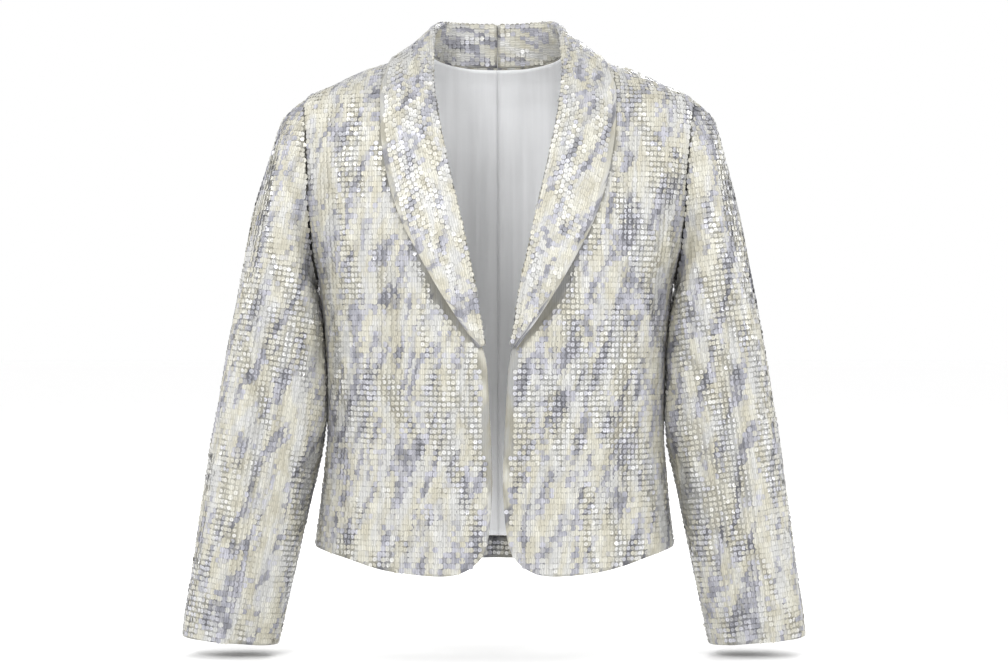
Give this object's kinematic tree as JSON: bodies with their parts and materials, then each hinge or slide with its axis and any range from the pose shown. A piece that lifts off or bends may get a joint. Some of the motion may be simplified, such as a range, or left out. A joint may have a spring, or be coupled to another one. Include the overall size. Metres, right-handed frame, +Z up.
{
  "type": "blazer",
  "caption": "Cropped open-front women's blazer with a shawl collar and long set-in sleeves, in cream and silver-grey sequinned cloth, filled out as worn.",
  "frame": {"origin": "between the two neck points of the shoulders, where the wearer holds it up", "axes": "+X to the wearer's left, the front faces -Y, +Z up"},
  "size_m": [0.656, 0.2294, 0.6628],
  "materials": {
    "sequin_cloth": "sequins, glossy and partly metallic, cream to silver-grey",
    "collar_cloth": "the same sequinned cloth, doubled",
    "satin_lining": "satin",
    "hem_cloth": "sequinned cloth turned up"
  },
  "bodies": {
    "root": {"back": "sequin_cloth", "front_left": "sequin_cloth", "front_right": "sequin_cloth", "sleeve_left": "sequin_cloth", "sleeve_right": "sequin_cloth", "collar_left": "collar_cloth", "collar_right": "collar_cloth", "lining_back_right": "satin_lining", "lining_back_left": "satin_lining", "hem_turnup": "hem_cloth"}
  },
  "joints": []
}
